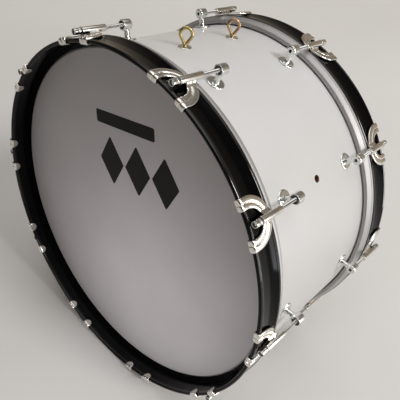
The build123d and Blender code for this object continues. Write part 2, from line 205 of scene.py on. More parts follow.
def object_noise(nodes, links, scale, detail=4.0, stretch=None):
    coords = nodes.new("ShaderNodeTexCoord")
    noise = nodes.new("ShaderNodeTexNoise")
    noise.inputs["Scale"].default_value = scale
    noise.inputs["Detail"].default_value = detail
    source = coords.outputs["Object"]
    if stretch:
        mapping = nodes.new("ShaderNodeMapping")
        mapping.inputs["Scale"].default_value = stretch
        links.new(source, mapping.inputs["Vector"])
        source = mapping.outputs["Vector"]
    links.new(source, noise.inputs["Vector"])
    return noise.outputs["Fac"]


def ramp(nodes, links, factor, stops):
    """A color ramp from (place, color) stops."""
    node = nodes.new("ShaderNodeValToRGB")
    elements = node.color_ramp.elements
    while len(elements) < len(stops):
        elements.new(0.5)
    for element, (place, color) in zip(elements, stops):
        element.position = place
        element.color = (*color, 1)
    links.new(factor, node.inputs["Fac"])
    return node.outputs["Color"]


def spread(nodes, links, value, given, wanted=(0.0, 1.0), interpolation="LINEAR"):
    """Maps the range given to the range wanted."""
    node = nodes.new("ShaderNodeMapRange")
    node.interpolation_type = interpolation
    for socket, number in zip(("From Min", "From Max", "To Min", "To Max"), (*given, *wanted)):
        node.inputs[socket].default_value = number
    links.new(value, node.inputs["Value"])
    return node.outputs["Result"]


def computed(nodes, links, operation, value, other=0.0):
    node = nodes.new("ShaderNodeMath")
    node.operation = operation
    node.inputs[1].default_value = other
    links.new(value, node.inputs[0])
    return node.outputs["Value"]


def mixed(nodes, links, a, b, factor=1.0, blend="MIX"):
    """Mixes two colors by a number or by another node's output."""
    node = nodes.new("ShaderNodeMix")
    node.data_type = "RGBA"
    node.blend_type = blend
    if isinstance(factor, float):
        node.inputs["Factor"].default_value = factor
    else:
        links.new(factor, node.inputs["Factor"])
    links.new(a, node.inputs["A"])
    links.new(b, node.inputs["B"])
    return node.outputs["Result"]


def bump(nodes, links, shader, height, strength):
    node = nodes.new("ShaderNodeBump")
    node.inputs["Strength"].default_value = strength
    node.inputs["Distance"].default_value = 0.2 * MM
    links.new(height, node.inputs["Height"])
    links.new(node.outputs["Normal"], shader.inputs["Normal"])


def clouded(nodes, links, shader, noise, colors):
    """Colors the surface by a noise, with the colors spread evenly between 0.3 and 0.7."""
    last = len(colors) - 1
    stops = [(0.3 + 0.4 * k / last, color) for k, color in enumerate(colors)]
    links.new(ramp(nodes, links, noise, stops), shader.inputs["Base Color"])


def textured(nodes, links, shader, noise, rough, grain):
    """Varies the roughness by a noise, and lifts the surface by it where there is a grain."""
    links.new(spread(nodes, links, noise, (0, 1), rough), shader.inputs["Roughness"])
    if grain:
        bump(nodes, links, shader, noise, grain)


# ---------------------------------------------------------------------------
# Materials
# ---------------------------------------------------------------------------
def metal(name, dark, light, rough, scale=90.0, grain=0.0):
    """Plated or polished metal: slow changes of tint, finer changes of polish."""
    material, nodes, links, shader = new_material(name, light, metallic=1.0)
    slow = object_noise(nodes, links, scale * 0.4, 3.0)
    clouded(nodes, links, shader, slow, [dark, light])
    textured(nodes, links, shader, object_noise(nodes, links, scale * 6, 5.0), rough, grain)
    return material


def painted(name, dark, light, rough, scale, grain, coat=0.0, specular=0.5):
    """Covering, film or ink: a faint cloud in the color and a faint surface texture."""
    material, nodes, links, shader = new_material(name, light, coat=coat, specular=specular)
    clouded(nodes, links, shader, object_noise(nodes, links, scale), [dark, light])
    textured(nodes, links, shader, object_noise(nodes, links, scale * 40, 3.0), rough, grain)
    return material


def plywood():
    """Plies as rings about the drum's axis, with grain running along each."""
    ply = 1.25 * MM
    dark_ply, light_ply = (0.14, 0.055, 0.018), (0.42, 0.2, 0.075)
    material, nodes, links, shader = new_material("shell_plywood", light_ply, roughness=0.6)
    place = coordinates(nodes, links)
    across = nodes.new("ShaderNodeCombineXYZ")
    links.new(place["X"], across.inputs["X"])
    links.new(computed(nodes, links, "SUBTRACT", place["Z"], HOOP_R * MM), across.inputs["Y"])
    from_axis = nodes.new("ShaderNodeVectorMath")
    from_axis.operation = "LENGTH"
    links.new(across.outputs["Vector"], from_axis.inputs[0])
    plies = computed(nodes, links, "PINGPONG", from_axis.outputs["Value"], ply)
    in_ply = spread(nodes, links, plies, (0, ply))
    color = ramp(nodes, links, in_ply, [(0.35, dark_ply), (0.55, light_ply)])
    grain = object_noise(nodes, links, 60.0, 6.0, stretch=(1, 12, 1))
    streaks = ramp(nodes, links, grain, [(0.3, (0.45, 0.4, 0.35)), (0.7, (1, 1, 1))])
    mix = mixed(nodes, links, color, streaks, 0.6, "MULTIPLY")
    links.new(mix, shader.inputs["Base Color"])
    bump(nodes, links, shader, grain, 0.3)
    return material


def black_lacquer(name, front_level, rear_level):
    """Gloss black with a specular level that changes with the depth across the hoop: full on the
    ridge and the rear lip, and low on the band as painted shade, with one level in front and
    another behind."""
    material, nodes, links, shader = new_material(name, (0.0025, 0.0025, 0.003))
    cloud = object_noise(nodes, links, 8.0)
    clouded(nodes, links, shader, cloud, [(0.0015, 0.0015, 0.0017), (0.0028, 0.0028, 0.003)])
    textured(nodes, links, shader, object_noise(nodes, links, 300.0, 3.0), (0.08, 0.14), 0.01)
    from_middle = computed(nodes, links, "ABSOLUTE", coordinates(nodes, links)["Y"])
    from_lip = spread(nodes, links, from_middle, ((HALF - HOOP_WIDTH) * MM, HALF * MM))
    front, rear, bright = (front_level,) * 3, (rear_level,) * 3, (0.5,) * 3
    # Painted shade: the low levels keep the band dark, as if it reflected only a dark room.
    level = ramp(nodes, links, from_lip, [
        (0.08, bright), (0.11, rear),  # the rear lip
        (0.47, rear), (0.56, front),  # the band
        (0.866, front), (0.871, bright), (0.965, bright), (0.98, front),  # the ridge
    ])
    links.new(level, shader.inputs["Specular IOR Level"])
    return material


def yellow_zinc(name, tints):
    """Yellow zinc: gold that drifts to green or to pink."""
    material, nodes, links, shader = new_material(name, tints[1], metallic=1.0)
    clouded(nodes, links, shader, object_noise(nodes, links, 45.0, 2.0), tints)
    textured(nodes, links, shader, object_noise(nodes, links, 700.0, 4.0), (0.2, 0.34), 0.06)
    return material


def floor_material():
    """A pale floor with painted light: a little paler to the right, towards the window, and to the
    back.
    """
    # Painted light: the left colour is darker and the right one paler, so the floor brightens
    # towards the window.
    left, right = (0.60, 0.585, 0.565), (0.76, 0.75, 0.735)
    material, nodes, links, shader = new_material("pale_floor", (0.7, 0.69, 0.67))
    place = coordinates(nodes, links)
    painted_light_across = spread(nodes, links, place["X"], (-1.2, 1.2))
    slope = ramp(nodes, links, painted_light_across, [(0.1, left), (0.9, right)])
    noise = object_noise(nodes, links, 1.5)
    cloud = ramp(nodes, links, noise, [(0.3, (0.97, 0.97, 0.97)), (0.7, (1, 1, 1))])
    scaled = nodes.new("ShaderNodeVectorMath")
    scaled.operation = "SCALE"
    links.new(mixed(nodes, links, slope, cloud, 1.0, "MULTIPLY"), scaled.inputs[0])
    # Painted light: the floor's colour grows paler towards the back.
    painted_light_back = spread(nodes, links, place["Y"], (-1.0, 2.0), (0.88, 1.16))
    links.new(painted_light_back, scaled.inputs["Scale"])
    links.new(scaled.outputs["Vector"], shader.inputs["Base Color"])
    textured(nodes, links, shader, object_noise(nodes, links, 60.0, 3.0), (0.6, 0.7), 0.02)
    return material


PLYWOOD = plywood()
WRAP = painted(
    "white_wrap", (0.63, 0.63, 0.628), (0.67, 0.67, 0.668), (0.30, 0.40), 6.0, 0.03, coat=0.15
)
# The white film has a mid-grey colour: painted shade, for a head that faces away from the light.
FILM = painted("head_film", (0.41, 0.388, 0.393), (0.44, 0.418, 0.423), (0.36, 0.48), 9.0, 0.04)
INK = painted("printed_ink", (0.003,) * 3, (0.006,) * 3, (0.45, 0.60), 20.0, 0.03, specular=0.15)
ALUMINIUM = metal(
    "bright_aluminium", (0.42, 0.41, 0.405), (0.47, 0.46, 0.455), (0.54, 0.62), 60.0, 0.01
)
NICKEL = metal("nickel_plating", (0.72, 0.69, 0.64), (0.84, 0.81, 0.76), (0.16, 0.24), grain=0.003)
CHROME = metal("chrome_plating", (0.74, 0.75, 0.73), (0.84, 0.85, 0.83), (0.15, 0.22), grain=0.003)
ROD = metal("rod_plating", (0.62, 0.62, 0.59), (0.76, 0.76, 0.73), (0.16, 0.26), 120.0, 0.01)
STEEL = metal("plated_steel", (0.46, 0.46, 0.45), (0.60, 0.60, 0.59), (0.22, 0.36), 150.0, 0.08)
NUT_STEEL = metal("dark_nut_steel", (0.07,) * 3, (0.14,) * 3, (0.3, 0.45), 150.0, 0.05)
PLATE = metal("zinc_plate", (0.58, 0.57, 0.53), (0.74, 0.73, 0.69), (0.20, 0.32), 150.0, 0.05)
# The rear hoop's copy has lower levels on its band: a shaded copy of the same lacquer.
BLACK = {
    "front": black_lacquer("black_lacquer_front", 0.13, 0.03),
    "rear": black_lacquer("black_lacquer_rear", 0.03, 0.02),
}
GREEN_GOLD = [(0.46, 0.43, 0.15), (0.52, 0.42, 0.18), (0.52, 0.36, 0.20)]
PINK_GOLD = [(0.50, 0.38, 0.19), (0.50, 0.32, 0.19), (0.48, 0.29, 0.20)]
YELLOW_ZINC = {
    "front": yellow_zinc("yellow_zinc_green", GREEN_GOLD),
    "rear": yellow_zinc("yellow_zinc_pink", PINK_GOLD),
}


# ---------------------------------------------------------------------------
# Shell and its covering: tubes with a round vent cut through
# ---------------------------------------------------------------------------
VENT_HALF_CELLS, VENT_ROW = 4, 4.0
VENT_PATCH = [HALF + k * VENT_ROW for k in range(-VENT_HALF_CELLS, VENT_HALF_CELLS + 1)]


def vent_rings(radius):
    """Points from the patch's square edge in to the vent's circle, ring by ring."""
    cell = 2 * pi * radius / ROUND
    side = np.arange(-VENT_HALF_CELLS, VENT_HALF_CELLS)
    square = (
        [(k * cell, VENT_PATCH[0] - HALF) for k in side]
        + [(VENT_HALF_CELLS * cell, VENT_PATCH[k] - HALF) for k in range(2 * VENT_HALF_CELLS)]
        + [(-k * cell, VENT_PATCH[-1] - HALF) for k in side]
        + [(-VENT_HALF_CELLS * cell, HALF - VENT_PATCH[k]) for k in range(2 * VENT_HALF_CELLS)]
    )
    rings = []
    for t in (0, 0.35, 0.65, 0.85, 1.0):
        ring = []
        for x, y in square:
            a = atan2(y, x)
            ring.append((x + (VENT_R * cos(a) - x) * t, y + (VENT_R * sin(a) - y) * t))
        rings.append(ring)
    return rings


def on_tube(radius, x, y):
    a = radians(VENT_ANGLE) + x / radius
    return radius * sin(a), HALF + y, radius * cos(a)


def vented_tube(outer, inner, outer_start, inner_start):
    """A tube whose two walls share the vent. Each wall starts at its own depth."""
    section, walls = [], []
    for radius, start in ((outer, outer_start), (inner, inner_start)):
        wall = [start, *VENT_PATCH, 2 * HALF - start]
        if radius == inner:
            wall.reverse()
        walls.append(range(len(section) + 1, len(section) + len(VENT_PATCH)))
        section += [(radius, depth) for depth in wall]
    centre = round(VENT_ANGLE * ROUND / 360)

    def in_patch(i, j):
        near = -VENT_HALF_CELLS <= i - centre < VENT_HALF_CELLS
        return near and any(j in wall for wall in walls)

    points, _ = turned(section, ROUND)
    parts, rims = [(points, grid_faces(ROUND, len(section), True, True, in_patch))], []
    for radius in (outer, inner):
        rings = vent_rings(radius)
        ring_points = np.array([on_tube(radius, x, y) for ring in rings for x, y in ring])
        parts.append((ring_points, grid_faces(len(rings), len(rings[0]), False, True)))
        rims.append([on_tube(radius, x, y) for x, y in rings[-1]])
    parts.append((np.array(rims[0] + rims[1]), grid_faces(2, len(rims[0]), False, True)))
    return joined(parts)


BEVEL_OUT, BEVEL_IN, WRAP_BACK = 3.3, 2.2, 5.8  # how far each wall starts behind the crest
shell = vented_tube(SHELL_R, SHELL_IN_R, CREST + BEVEL_OUT, CREST + BEVEL_IN)
piece("drum_shell", moved(shell, TO_FRONT), "shell", PLYWOOD, ["shell"])
wrap = vented_tube(WRAP_R, SHELL_R + HAIR, CREST + WRAP_BACK, CREST + WRAP_BACK)
piece("shell_covering", moved(wrap, TO_FRONT), "shell", WRAP, ["shell_wrap"])


# ---------------------------------------------------------------------------
# Rings: film, flesh hoop, counter hoop
# ---------------------------------------------------------------------------
def arc(start, middle, end, steps):
    """Points on the circle through three points, without the last."""
    (ax, ay), (bx, by), (cx, cy) = start, middle, end
    d = 2 * (ax * (by - cy) + bx * (cy - ay) + cx * (ay - by))
    sa, sb, sc = ax * ax + ay * ay, bx * bx + by * by, cx * cx + cy * cy
    x = (sa * (by - cy) + sb * (cy - ay) + sc * (ay - by)) / d
    y = (sa * (cx - bx) + sb * (ax - cx) + sc * (bx - ax)) / d
    first, last = atan2(ay - y, ax - x), atan2(cy - y, cx - x)
    sweep = (last - first + pi) % (2 * pi) - pi
    radius = sqrt((ax - x) ** 2 + (ay - y) ** 2)
    angles = [first + sweep * k / steps for k in range(steps)]
    return [(x + radius * cos(a), y + radius * sin(a)) for a in angles]


def quarter(centre, across, along, first, steps=12):
    """A quarter of an ellipse, starting at an angle in degrees, without its last point."""
    angles = [radians(first + 90 * k / steps) for k in range(steps)]
    return [(centre[0] + across * cos(a), centre[1] + along * sin(a)) for a in angles]


def hoop_section():
    """Rounded front edge, ridge, hollowed band, rear lip and the inner lip on the flesh hoop."""
    edge_flat, inner_round, ridge = 0.8, 3.0, 4.3
    band_r, hollow = HOOP_R - 0.5, 1.3
    skirt_r, lip_r, lip_from, lip_to = 312.6, 302.5, 33.4, 36.0
    round_w = (HOOP_R - HOOP_INNER_R - edge_flat) / 2
    shoulder, foot = (band_r, 5.84), (band_r, HOOP_WIDTH - 3.7)
    middle = (band_r - hollow, (shoulder[1] + foot[1]) / 2)
    chamfer = [
        (HOOP_R, ridge), (HOOP_R - 0.05, 4.6), (HOOP_R - 0.07, 4.66), (HOOP_R - 0.47, 5.75),
    ]
    return (
        quarter((HOOP_INNER_R + round_w, inner_round), round_w, inner_round, 180)
        + quarter((HOOP_R - round_w, ridge), round_w, ridge, 270)
        + chamfer
        + arc(shoulder, middle, foot, 16)
        + rounded([
            foot,
            (HOOP_R, HOOP_WIDTH - 3.2, 0.3),
            (HOOP_R, HOOP_WIDTH - 1.7, 0.3),
            (HOOP_R - 0.65, HOOP_WIDTH - 0.7, 0.3),
            (HOOP_R - 1.5, HOOP_WIDTH, 0.4),
            (skirt_r, HOOP_WIDTH),
            (skirt_r, lip_to),
            (lip_r, lip_to, 0.4),
            (lip_r, lip_from, 0.5),
            (HOOP_INNER_R, lip_from, 0.8),
            (HOOP_INNER_R, inner_round),
        ])[:-1]
    )


def flesh_section():
    """A bead behind the counter hoop, a slightly hollow slope and a rounded free edge."""
    inner_r, neck_r, bead_r = 305.2, 312.0, 317.0
    front, bead_from, bead_to, end = 36.2, 46.0, 50.2, 59.5
    return rounded([
        (inner_r, front),
        (neck_r, front),
        (neck_r, bead_from, 0.3),
        (bead_r, bead_from, 1.4),
        (bead_r, bead_to, 1.4),
        (bead_r - 1.3, bead_to + 1.0, 0.5),
        (314.0, 54.2, 3.0),
        (311.9, 57.8, 1.0),
        (311.8, end, 1.1),
        (inner_r, end, 0.6),
    ], 7)


def film_section():
    """Flat disc, bend over the bearing edge, sloping collar, and the same again inside."""
    flat_end, bend_r, bend_steps, collar = 299.0, 3.0, 8, 6.0
    walls = []
    for depth, radius in ((HEAD_PLANE, bend_r), (HEAD_PLANE + FILM_T, bend_r - FILM_T)):
        wall = [(r, depth) for r in (0, 30, 80, 140, 200, 250, 285)]
        for k in range(bend_steps + 1):
            a = radians(45 * k / bend_steps)
            wall.append((flat_end + radius * sin(a), HEAD_PLANE + bend_r - radius * cos(a)))
        wall.append((wall[-1][0] + collar, wall[-1][1] + collar))
        walls.append(wall)
    return walls[0] + walls[1][::-1]


for side, place in SIDES.items():
    body = f"{side}_rim"
    hoop = moved(turned(hoop_section(), ROUND), place)
    piece(f"{side}_hoop", hoop, body, BLACK[side], [f"{side}_counter_hoop"], sharp=50)
    ring = moved(turned(flesh_section(), ROUND), place)
    piece(f"{side}_aluminium_ring", ring, body, ALUMINIUM, [f"{side}_flesh_hoop"],
          sharp=50)
    film = moved(turned(film_section(), ROUND, closed=False), place)
    piece(f"{side}_film", film, body, FILM, [f"{side}_head"])


# ---------------------------------------------------------------------------
# Printed ornament on the front film: a bar over a row of three lozenges
# ---------------------------------------------------------------------------
def flat_shape(outline):
    """A thin closed plate from an outline (x, z) about the head's centre."""
    thick, lift = 0.03, 0.03
    front = [(x, HEAD_PLANE - lift - thick, z) for x, z in outline]
    back = [(x, HEAD_PLANE - lift, z) for x, z in outline]
    count = len(outline)
    faces = [tuple(range(count)), tuple(range(2 * count - 1, count - 1, -1))]
    faces += [(i, (i + 1) % count, count + (i + 1) % count, count + i) for i in range(count)]
    return np.array(front + back), faces


def ornament():
    step, wide, high = 64.0, 30, 44
    left, right, bottom, top = -94, 44, 62, 84
    shapes = []
    for x in (-step, 0.0, step):
        shapes.append([(x, high, 3), (x + wide, 0, 3), (x, -high, 3), (x - wide, 0, 3)])
    shapes.append([(left, bottom, 4), (right, bottom, 4), (right, top, 4), (left, top, 4)])
    tilt = Matrix.Rotation(radians(-10), 4, "Y")
    middle = Matrix.Translation((19.0, 0, 124.0))
    return moved(joined([flat_shape(rounded(s)) for s in shapes]), middle @ tilt)


piece("front_print", moved(ornament(), TO_FRONT), "front_rim", INK)


# ---------------------------------------------------------------------------
# Claws: a strip laid on the hoop, and the sleeve for the rod
# ---------------------------------------------------------------------------
CLAW_CLEAR, CLAW_T = 0.15, 2.4
CLAW_HALF, CLAW_REACH, CLAW_CENTRE = 36.0, 44.0, 8.0  # crescent: half width, end, widest place
OPEN_HALF, OPEN_REACH = 19.0, 28.0  # its opening
TONGUE, TONGUE_ROUND = 10.0, 8.0  # hook up the inner wall, and the length of its round end
GROOVE_PLACE, GROOVE_SHIFT, GROOVE_RUN = 0.47, 0.09, 3.0
SLEEVE_R, SLEEVE_BORE_R, SLEEVE_FROM, SLEEVE_TO = 5.2, 3.1, 17.0, 59.0
EDGE_ARC = pi / 2 * HOOP_EDGE_R  # length of one rounded corner of the hoop's edge
EDGE_FLAT = HOOP_R - HOOP_INNER_R - 2 * HOOP_EDGE_R
WALL_START = HOOP_EDGE_R - 2 * EDGE_ARC - EDGE_FLAT  # distance at which the inner wall begins
TIP = WALL_START - (TONGUE - HOOP_EDGE_R)


def hoop_wall(t):
    """The hoop's surface by distance along it: depth outside the hoop, and below 0 round its
    front edge and up the inner wall. Gives (radius, depth) and the outward direction."""
    r = HOOP_EDGE_R
    s = r - t
    if s <= 0:
        return (HOOP_R, t), (1, 0)
    if s <= EDGE_ARC:
        a = s / r
        return (HOOP_R - r + r * cos(a), r - r * sin(a)), (cos(a), -sin(a))
    s -= EDGE_ARC
    if s <= EDGE_FLAT:
        return (HOOP_R - r - s, 0), (0, -1)
    s -= EDGE_FLAT
    if s <= EDGE_ARC:
        a = s / r
        return (HOOP_INNER_R + r - r * sin(a), r - r * cos(a)), (-sin(a), -cos(a))
    return (HOOP_INNER_R, r + s - EDGE_ARC), (-1, 0)


def smooth(x):
    x = min(max(x, 0.0), 1.0)
    return x * x * (3 - 2 * x)


def claw_rows():
    """Rows from one tongue's tip round the crescent to the other: (inner, outer, groove place,
    how much of the groove there is)."""
    full, middle = (CLAW_HALF - OPEN_HALF) / 2, (CLAW_HALF + OPEN_HALF) / 2
    round_rows, arc_rows = 12, 72
    leg = []
    for k in range(round_rows + 1):
        along = TONGUE_ROUND * (1 - cos(pi / 2 * k / round_rows))
        leg.append((TIP + along, full * sqrt(max(0.0, 1 - (1 - along / TONGUE_ROUND) ** 2))))
    for start, end, count in (
        (TIP + TONGUE_ROUND, WALL_START, 4),
        (WALL_START, HOOP_EDGE_R, 22),
        (HOOP_EDGE_R, CLAW_CENTRE, 6),
    ):
        leg += [(t, full) for t in np.linspace(start, end, count)[1:]]
    rows = []
    for t, half in leg:
        present = smooth((t - WALL_START) / GROOVE_RUN)
        rows.append(((middle - half, t), (middle + half, t), GROOVE_PLACE, present))
    for k in range(1, arc_rows):
        a = pi * k / arc_rows
        inner = (OPEN_HALF * cos(a), CLAW_CENTRE + (OPEN_REACH - CLAW_CENTRE) * sin(a))
        outer = (CLAW_HALF * cos(a), CLAW_CENTRE + (CLAW_REACH - CLAW_CENTRE) * sin(a))
        rows.append((inner, outer, GROOVE_PLACE - GROOVE_SHIFT * sin(a), 1.0))
    for inner, outer, groove, present in rows[len(leg) - 1::-1]:
        rows.append(((-inner[0], inner[1]), (-outer[0], outer[1]), groove, present))
    return rows


def claw_section(groove, present):
    """Points across the strip, (share of the width, height): two rolls with a groove between."""
    low, rim, crown, floor = CLAW_CLEAR, 1.3, 1.0, 0.15
    inner_crest, outer_crest, roll_steps = 3.0, 3.2, 10
    across = []
    for first, last, crest in ((0.0, groove, inner_crest), (groove, 1.0, outer_crest)):
        for k in range(1, roll_steps):
            share = k / roll_steps
            roll = rim + (crest - rim) * sqrt(sin(pi * share))
            w = first + (last - first) * (1 - cos(pi * share)) / 2
            plain = rim + crown * sqrt(max(0.0, 1 - (2 * w - 1) ** 4))
            across.append((w, plain + (roll - plain) * present))
        if last < 1:
            across.append((last, rim + crown + (floor - crown) * present))
    top = [(0.0, rim)] + across + [(1.0, rim)]
    return [(0.02, low), (0.0, low + 0.25)] + top + [(1.0, low + 0.25), (0.98, low)]


def saddle_height(x, t, height):
    """The strip draws up in a hollow curve and ends inside the wall of the sleeve above it."""
    axis = LINE_R - HOOP_R
    side, hollow = SLEEVE_R - 0.3, axis - CLAW_T - 0.2
    reach = side + hollow
    distance = abs(x)
    if distance >= reach or t < CLAW_CENTRE:
        return height
    drop = hollow
    if distance > side:
        drop -= sqrt(max(0.0, hollow**2 - (reach - distance) ** 2))
    wall_r = (SLEEVE_R + SLEEVE_BORE_R) / 2
    top = axis - sqrt(max(0.0, wall_r**2 - distance**2))
    calm = smooth((reach + 3 - distance) / 4)  # the rolls fade out as the saddle begins
    calmed = height * (1 - calm) + calm * min(height, CLAW_T + 0.4)
    return max(calmed, min(CLAW_T + drop, top))


def claw():
    points, rows = [], claw_rows()
    for inner, outer, groove, present in rows:
        section = claw_section(groove, present)
        for w, height in section:
            x = inner[0] + (outer[0] - inner[0]) * w
            t = inner[1] + (outer[1] - inner[1]) * w
            if height > 1:
                height = saddle_height(x, t, height)
            (radius, depth), (nr, nd) = hoop_wall(t)
            radius, depth = radius + nr * height, depth + nd * height
            a = x / HOOP_R
            points.append((radius * sin(a), depth, radius * cos(a)))
    strip = np.array(points), grid_faces(len(rows), len(section), False, True)
    sleeve = turned(rounded([
        (SLEEVE_BORE_R, SLEEVE_FROM),
        (SLEEVE_R, SLEEVE_FROM, 0.35),
        (SLEEVE_R, SLEEVE_TO, 0.45),
        (SLEEVE_BORE_R, SLEEVE_TO, 0.2),
    ]), 56)
    return joined([strip, up(sleeve, LINE_R)])


claws = around(claw())
for side, place in SIDES.items():
    piece(f"{side}_claw_set", moved(claws, place), f"{side}_rim", NICKEL,
          [f"{side}_claws"], sharp=48)


# ---------------------------------------------------------------------------
# Tension rods with a real thread, and their washers
# ---------------------------------------------------------------------------
ROD_R, ROD_HEAD_R, ROD_CUP_R = 2.75, 4.8, 3.9
ROD_START, ROD_END, THREAD_FROM = 3.2, 100.5, 58.0
CUP_LEN, CUP_DEPTH, NECK_LEN, COLLAR_LEN = 7.0, 5.2, 1.4, 3.4
THREAD_DEPTH = 0.42
DRIVE_HALF, DRIVE_SINK = 2.2, 2.0  # half the square's width, and how far it stands in the cup


def threaded(radius, start, end, depth, count=24):
    """A screw thread: rows of crests and roots, each a turn of a right-hand helix."""
    half = PITCH / 2
    rows = int((end - start) / half)
    points = []
    for k in range(-2, rows + 3):
        r = radius if k % 2 else radius - depth
        for i in range(count + 1):
            a = 2 * pi * i / count
            y = min(max(start + (k + 2 * i / count) * half, start), end)
            points.append((r * sin(a), y, r * cos(a)))
    return np.array(points), grid_faces(rows + 5, count + 1, False, False)


def square_drive():
    """The square in the cup, with its front edges broken."""
    h = DRIVE_HALF
    square = rounded([(-h, -h, 0.5), (h, -h, 0.5), (h, h, 0.5), (-h, h, 0.5)])
    rows = (
        (ROD_START + CUP_DEPTH + 0.2, 1.0),
        (ROD_START + DRIVE_SINK + 0.4, 1.0),
        (ROD_START + DRIVE_SINK, 0.82),
    )
    points = np.array([(x * k, y, z * k) for y, k in rows for x, z in square])
    faces = grid_faces(len(rows), len(square), False, True)
    faces.append(tuple(2 * len(square) + i for i in range(len(square))))
    return points, faces


def tension_rod():
    """Cupped head with a neck and a collar, a square drive in the cup, a smooth and a cut shank."""
    cup_end = ROD_START + CUP_LEN
    neck_end = cup_end + NECK_LEN
    collar_end = neck_end + COLLAR_LEN
    root_r = ROD_R - THREAD_DEPTH
    head = turned(rounded([
        (0.0, ROD_START + CUP_DEPTH),
        (ROD_CUP_R, ROD_START + CUP_DEPTH, 0.3),
        (ROD_CUP_R, ROD_START, 0.25),
        (ROD_HEAD_R, ROD_START, 0.35),
        (ROD_HEAD_R, cup_end, 0.5),
        (ROD_CUP_R, cup_end, 0.3),
        (ROD_CUP_R, neck_end, 0.3),
        (ROD_HEAD_R, neck_end, 0.5),
        (ROD_HEAD_R, collar_end, 0.4),
        (ROD_R, collar_end),
        (ROD_R, THREAD_FROM),
        (ROD_R - 0.35, THREAD_FROM + 0.3),
        (0.0, THREAD_FROM + 0.3),
    ]), 48, closed=False)
    thread = threaded(ROD_R, THREAD_FROM, ROD_END - 0.8, THREAD_DEPTH)
    tip = turned([
        (root_r, ROD_END - 1.2),
        (root_r - 0.03, ROD_END - 0.4),
        (ROD_R - 0.9, ROD_END),
        (0.0, ROD_END),
    ], 24, closed=False)
    return up(joined([head, square_drive(), thread, tip]), LINE_R)


def rod_washer():
    front, radius = SLEEVE_FROM - 1.2, 5.6
    washer = turned(rounded([
        (SLEEVE_BORE_R, front, 0.15), (radius, front, 0.4),
        (radius, SLEEVE_FROM, 0.4), (SLEEVE_BORE_R, SLEEVE_FROM, 0.15),
    ]))
    return up(washer, LINE_R)


one_rod, washers = tension_rod(), around(rod_washer())
for side, place in SIDES.items():
    for n in range(LINES):
        number = f"{n + 1:02d}"
        piece(f"{side}_rod_piece_{number}", moved(one_rod, place @ line(n)), f"{side}_rod_{number}",
              ROD, [f"{side}_tension_rod_{number}"], sharp=40)
    piece(f"{side}_rod_washer_set", moved(washers, place), f"{side}_rim", STEEL,
          [f"{side}_rod_washers"])


# ---------------------------------------------------------------------------
# Lugs, swivel nuts, screws and washers
# ---------------------------------------------------------------------------
BARREL_R, BARREL_LEN, BORE_R, BORE_DEPTH, TIP_HOLE_R = 8.3, 16.0, 6.6, 13.0, 2.6
MOUTH, BARREL_END = LUG_MID - BARREL_LEN / 2, LUG_MID + BARREL_LEN / 2
BORE_END = MOUTH + BORE_DEPTH
POST_R, FLANGE_R, FLANGE_T = 4.4, 13.9, 2.2


def lug():
    """Hollow barrel, open to the hoop and domed behind, on a waisted post and a round foot."""
    barrel = turned(rounded([
        (TIP_HOLE_R, BORE_END),
        (BORE_R, BORE_END, 0.6),
        (BORE_R, MOUTH, 0.3),
        (BARREL_R, MOUTH, 0.5),
        (BARREL_R, BARREL_END - 0.2, 3.4),
        (TIP_HOLE_R, BARREL_END, 0.3),
    ], 8), 64)
    foot_flare, top_flare, rows = 1.5, 1.1, 14
    start, end = WRAP_R + FLANGE_T - 0.6, LINE_R - 5.2  # inside the flange, inside the barrel
    post = []
    for k in range(rows):
        share = k / (rows - 1)
        flare = foot_flare * (1 - smooth(share * 3.2)) + top_flare * smooth((share - 0.72) * 3.6)
        post.append((POST_R + flare, start + (end - start) * share))
    stand = joined([upright(turned(post, closed=False)), flange()])
    return joined([up(barrel, LINE_R), at_depth(stand, LUG_MID)])


def disc_on_wrap(profile):
    """A disc from (radius, height) points, bent down on the round covering."""
    points, faces = upright(turned(profile, 64, closed=False))
    points[:, 2] += np.sqrt(WRAP_R**2 - points[:, 0] ** 2) + HAIR
    return points, faces


def flange():
    return disc_on_wrap([
        (0.0, FLANGE_T), (4.0, FLANGE_T), (8.0, FLANGE_T), (11.0, FLANGE_T - 0.02),
        (12.4, FLANGE_T - 0.12), (13.1, FLANGE_T - 0.4), (13.6, FLANGE_T - 0.85),
        (FLANGE_R, FLANGE_T - 1.4), (FLANGE_R, 0.0), (9.0, 0.0), (0.0, 0.0),
    ])


def swivel_nut():
    length, radius, hole = 10.0, 6.3, ROD_R + 0.08
    end = BORE_END - 0.2
    start = end - length
    nut = turned(rounded([
        (hole, start, 0.3), (radius, start, 0.7), (radius, end, 0.7), (hole, end, 0.3),
    ]))
    return up(nut, LINE_R)


def lug_screw():
    """Rounded head on the washer inside the shell, and a shank up into the post."""
    seat, head_r, head_t, shank = SHELL_IN_R - 1.5, 4.6, 3.2, 18.7
    profile = rounded([
        (0.0, seat - 2.0), (1.0, seat - head_t), (head_r, seat - head_t, 1.6), (head_r, seat, 0.2),
        (SCREW_R, seat, 0.2), (SCREW_R, seat + shank, 0.3), (0.0, seat + shank),
    ])
    return at_depth(upright(turned(profile)), LUG_MID)


def inner_washer(radius, thickness, depth):
    top = SHELL_IN_R - 0.3
    profile = rounded([
        (SCREW_R, top - thickness, 0.15), (radius, top - thickness, 0.35),
        (radius, top, 0.35), (SCREW_R, top, 0.15),
    ])
    return at_depth(upright(turned(profile)), depth)


